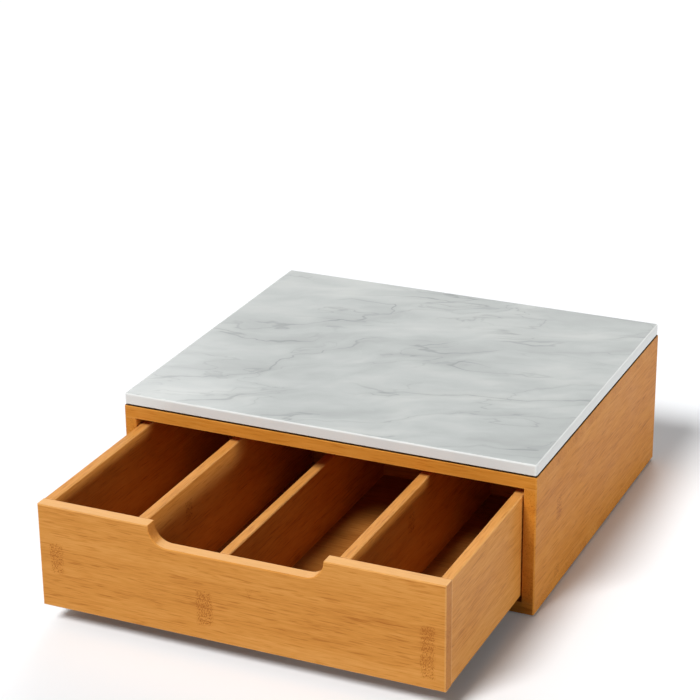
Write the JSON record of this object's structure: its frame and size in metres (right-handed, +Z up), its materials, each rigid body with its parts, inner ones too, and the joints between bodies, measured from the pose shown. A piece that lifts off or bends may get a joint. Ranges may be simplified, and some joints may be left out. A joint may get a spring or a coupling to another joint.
{
  "type": "coffee pod drawer",
  "caption": "Open-fronted bamboo case with a marble top slab and one wide sliding drawer, divided front to back into pod compartments, with a finger notch for a pull.",
  "frame": {"origin": "on the surface that the feet stand on, at the middle of the whole footprint with the drawer at its pictured opening", "axes": "+X to the right seen from the front, +Y from the drawer's front towards the case's back, +Z up"},
  "size_m": [0.38, 0.503, 0.1387],
  "materials": {
    "case_bamboo": "satin lacquered carbonised bamboo, strip grain along each board",
    "drawer_bamboo": "satin lacquered bamboo with knuckle marks",
    "divider_bamboo": "satin lacquered bamboo",
    "panel_bamboo": "thin bamboo ply, satin lacquer",
    "runner_bamboo": "sanded and waxed bamboo strip",
    "dowel_wood": "bare fluted hardwood dowel",
    "marble": "polished pale grey marble with soft grey veins",
    "soft_pad": "clear soft adhesive dot",
    "foot_rubber": "matt black soft foot",
    "steel_pin": "bright steel panel pin"
  },
  "bodies": {
    "case": {"base_board": "case_bamboo", "left_side_board": "case_bamboo", "right_side_board": "case_bamboo", "top_board": "case_bamboo", "back_panel": "panel_bamboo", "back_panel_pins": "steel_pin", "top_joint_dowels": "dowel_wood", "base_joint_dowels": "dowel_wood", "marble_slab": "marble", "slab_pads": "soft_pad", "left_runner": "runner_bamboo", "right_runner": "runner_bamboo", "stop_pegs": "dowel_wood", "back_bumpers": "soft_pad", "feet": "foot_rubber"},
    "drawer": {"drawer_front": "drawer_bamboo", "drawer_left_side": "drawer_bamboo", "drawer_right_side": "drawer_bamboo", "drawer_back": "drawer_bamboo", "drawer_bottom": "panel_bamboo", "left_divider": "divider_bamboo", "centre_divider": "divider_bamboo", "right_divider": "divider_bamboo", "front_joint_dowels": "dowel_wood", "back_joint_dowels": "dowel_wood", "divider_dowels": "dowel_wood"}
  },
  "joints": [
    {"name": "drawer_slide", "type": "slide", "parent": "case", "child": "drawer", "axis": [0, -1, 0], "range_m": [-0.167, 0.0935]}
  ]
}
